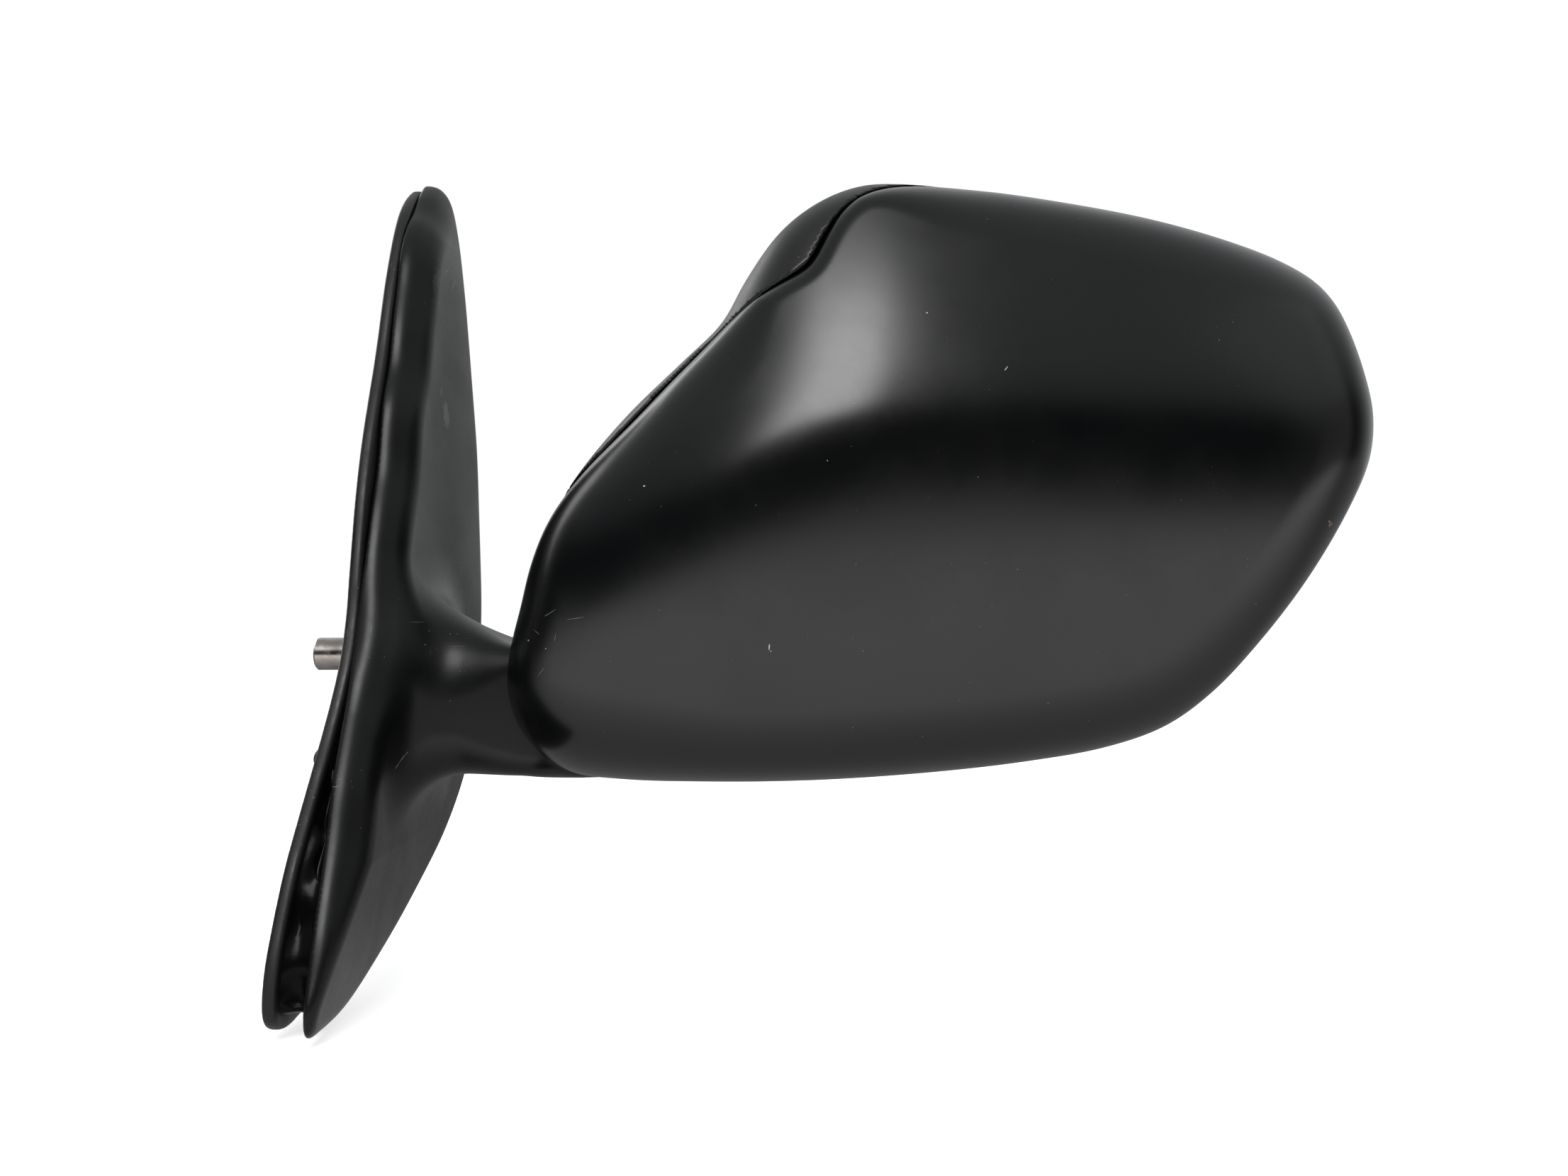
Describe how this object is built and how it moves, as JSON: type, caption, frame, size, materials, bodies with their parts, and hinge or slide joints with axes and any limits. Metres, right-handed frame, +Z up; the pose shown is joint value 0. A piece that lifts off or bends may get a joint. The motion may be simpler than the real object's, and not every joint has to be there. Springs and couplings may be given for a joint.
{
  "type": "car side mirror",
  "caption": "Left-hand folding door mirror: sculpted black housing on a leaf-shaped door base, with power-adjusted tilting glass.",
  "frame": {"origin": "axis of the main mounting boss, on the plane where the gasket meets the door", "axes": "+X outboard from the door, +Y towards the rear of the car (the way the glass faces), +Z up"},
  "size_m": [0.3271, 0.143, 0.2596],
  "materials": {
    "black_primer": "satin moulded black, ready for paint",
    "black_plastic": "fine grained black moulding",
    "foam_rubber": "soft matt gasket rubber",
    "die_cast": "as-cast, lightly textured",
    "steel": "zinc plated, turned",
    "spring_steel": "phosphated spring wire",
    "glass_filled": "glass filled nylon",
    "acetal": "natural acetal",
    "brass": "machined",
    "cable": "taped loom",
    "connector": "dark grey moulding",
    "heater": "amber film",
    "mirror": "silvered glass"
  },
  "bodies": {
    "base": {"base_cover": "black_primer", "base_gasket": "foam_rubber", "base_bracket": "die_cast", "mounting_inserts": "steel", "cover_screws": "steel", "detent_ring_lower": "steel", "pivot_cap": "black_plastic", "harness_base": "cable", "door_grommet": "foam_rubber", "harness_connector": "connector"},
    "head": {"front_shell": "black_primer", "rear_housing": "black_plastic", "head_frame": "glass_filled", "frame_screws": "steel", "housing_screws": "steel", "detent_ring_upper": "steel", "pivot_tube": "steel", "thrust_washer": "acetal", "fold_spring": "spring_steel", "spring_retainer": "steel", "actuator_case_front": "black_plastic", "actuator_case_rear": "black_plastic", "actuator_screws": "steel", "pivot_post": "acetal", "tilt_motor": "steel", "pan_motor": "steel", "harness_head": "cable"},
    "gimbal": {"gimbal_ring": "acetal"},
    "glass": {"glass_holder": "black_plastic", "heater_pad": "heater", "mirror_glass": "mirror"},
    "jack_tilt": {"jack_rod_tilt": "acetal"},
    "jack_pan": {"jack_rod_pan": "acetal"},
    "wheel_tilt": {"worm_wheel_tilt": "acetal"},
    "wheel_pan": {"worm_wheel_pan": "acetal"},
    "worm_tilt": {"worm_tilt": "brass"},
    "worm_pan": {"worm_pan": "brass"}
  },
  "joints": [
    {"name": "fold", "type": "hinge", "parent": "base", "child": "head", "pos_m": [0.069, 0, 0], "axis": [0, 0, 1], "range_deg": [0, 56]},
    {"name": "glass_tilt", "type": "hinge", "parent": "head", "child": "gimbal", "pos_m": [0.192, 0.028, 0.054], "axis": [1, 0, 0], "range_deg": [-8, 8]},
    {"name": "glass_pan", "type": "hinge", "parent": "gimbal", "child": "glass", "pos_m": [0.192, 0.028, 0.054], "axis": [0, 0, 1], "range_deg": [-8, 8]},
    {"name": "jack_tilt_slide", "type": "slide", "parent": "head", "child": "jack_tilt", "axis": [0, 1, 0], "range_m": [-0.0035, 0.0035]},
    {"name": "jack_pan_slide", "type": "slide", "parent": "head", "child": "jack_pan", "axis": [0, 1, 0], "range_m": [-0.0035, 0.0035]},
    {"name": "wheel_tilt_turn", "type": "hinge", "parent": "head", "child": "wheel_tilt", "pos_m": [0.192, 0.011, 0.029], "axis": [0, 1, 0], "range_deg": [-252.33, 252.33]},
    {"name": "wheel_pan_turn", "type": "hinge", "parent": "head", "child": "wheel_pan", "pos_m": [0.217, 0.011, 0.054], "axis": [0, 1, 0], "range_deg": [-252.33, 252.33]},
    {"name": "worm_tilt_turn", "type": "hinge", "parent": "head", "child": "worm_tilt", "pos_m": [0.192, 0.011, 0.0162], "axis": [1, 0, 0], "range_deg": [-3034.06, 3034.06]},
    {"name": "worm_pan_turn", "type": "hinge", "parent": "head", "child": "worm_pan", "pos_m": [0.2298, 0.011, 0.054], "axis": [0, 0, 1], "range_deg": [-3034.06, 3034.06]}
  ],
  "couplings": [
    {"joint": "jack_tilt_slide", "follows": "glass_tilt", "m_per_rad": 0.025},
    {"joint": "jack_pan_slide", "follows": "glass_pan", "m_per_rad": 0.025},
    {"joint": "wheel_tilt_turn", "follows": "glass_tilt", "ratio": 31.416},
    {"joint": "wheel_pan_turn", "follows": "glass_pan", "ratio": 31.416},
    {"joint": "worm_tilt_turn", "follows": "glass_tilt", "ratio": 376.99},
    {"joint": "worm_pan_turn", "follows": "glass_pan", "ratio": -376.99}
  ]
}
